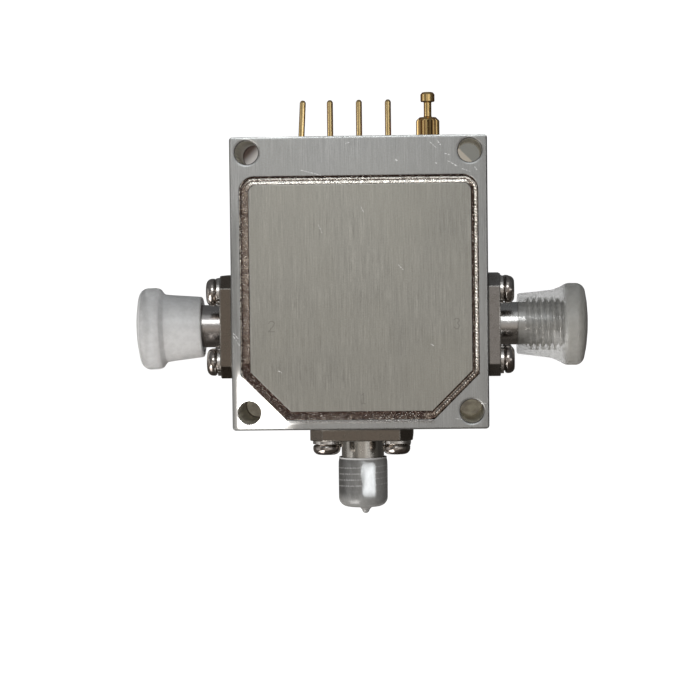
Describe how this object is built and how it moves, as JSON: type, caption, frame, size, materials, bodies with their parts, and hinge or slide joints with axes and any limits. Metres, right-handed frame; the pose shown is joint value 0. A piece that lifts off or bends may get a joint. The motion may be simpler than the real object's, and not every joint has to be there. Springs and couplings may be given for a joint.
{
  "type": "solid-state rf switch",
  "caption": "Milled aluminium microwave switch module with flange-mount coaxial jacks on three sides under dust caps, solder pins and a ground turret on the fourth, and a welded lid.",
  "frame": {"origin": "centre of the four mounting holes, on the base plane", "axes": "+Z from the base to the lid, +X towards the right-hand jack with the solder pins at +Y"},
  "size_m": [0.0563, 0.0527, 0.014],
  "materials": {
    "housing_metal": "brushed",
    "lid_metal": "brushed",
    "weld_metal": "weld bead",
    "jack_steel": "passivated, turned",
    "screw_steel": "polished",
    "washer_steel": "plain",
    "fluoropolymer": "matte",
    "gold_plate": "gold plated",
    "seal_ring": "gold plated",
    "seal_glass": "opaque sealing glass",
    "collar_cap_plastic": "translucent",
    "sleeve_cap_plastic": "translucent",
    "microwave_laminate": "matte",
    "gold_track": "plated",
    "chip": "gloss",
    "capacitor_ceramic": "matte",
    "choke_body": "matte",
    "circuit_board": "solder mask",
    "package_black": "moulded",
    "tinned_lead": "tinned"
  },
  "bodies": {
    "root": {"housing": "housing_metal", "lid": "lid_metal", "weld_bead": "weld_metal", "right_jack_shell": "jack_steel", "right_jack_insulator": "fluoropolymer", "right_jack_contact": "gold_plate", "right_feed_ring": "seal_ring", "right_feed_glass": "seal_glass", "right_feed_pin": "gold_plate", "right_dust_cap": "collar_cap_plastic", "right_flange_screws": "screw_steel", "right_spring_washers": "washer_steel", "left_jack_shell": "jack_steel", "left_jack_insulator": "fluoropolymer", "left_jack_contact": "gold_plate", "left_feed_ring": "seal_ring", "left_feed_glass": "seal_glass", "left_feed_pin": "gold_plate", "left_dust_cap": "collar_cap_plastic", "left_flange_screws": "screw_steel", "left_spring_washers": "washer_steel", "bottom_jack_shell": "jack_steel", "bottom_jack_insulator": "fluoropolymer", "bottom_jack_contact": "gold_plate", "bottom_feed_ring": "seal_ring", "bottom_feed_glass": "seal_glass", "bottom_feed_pin": "gold_plate", "bottom_dust_cap": "sleeve_cap_plastic", "bottom_flange_screws": "screw_steel", "bottom_spring_washers": "washer_steel", "bias_pin_1": "gold_plate", "bias_pin_2": "gold_plate", "bias_pin_3": "gold_plate", "bias_pin_4": "gold_plate", "bias_eyelets": "seal_ring", "bias_glass": "seal_glass", "ground_terminal": "gold_plate", "rf_board": "microwave_laminate", "rf_tracks": "gold_track", "pin_diodes": "chip", "dc_block_capacitors": "capacitor_ceramic", "bias_chokes": "choke_body", "rf_board_screws": "screw_steel", "partition_capacitors": "seal_ring", "bias_wires": "gold_plate", "driver_board": "circuit_board", "driver_pads": "gold_track", "driver_ic": "package_black", "driver_ic_leads": "tinned_lead", "driver_transistors": "package_black", "driver_resistors": "package_black", "driver_capacitors": "capacitor_ceramic", "driver_board_screws": "screw_steel"}
  },
  "joints": []
}
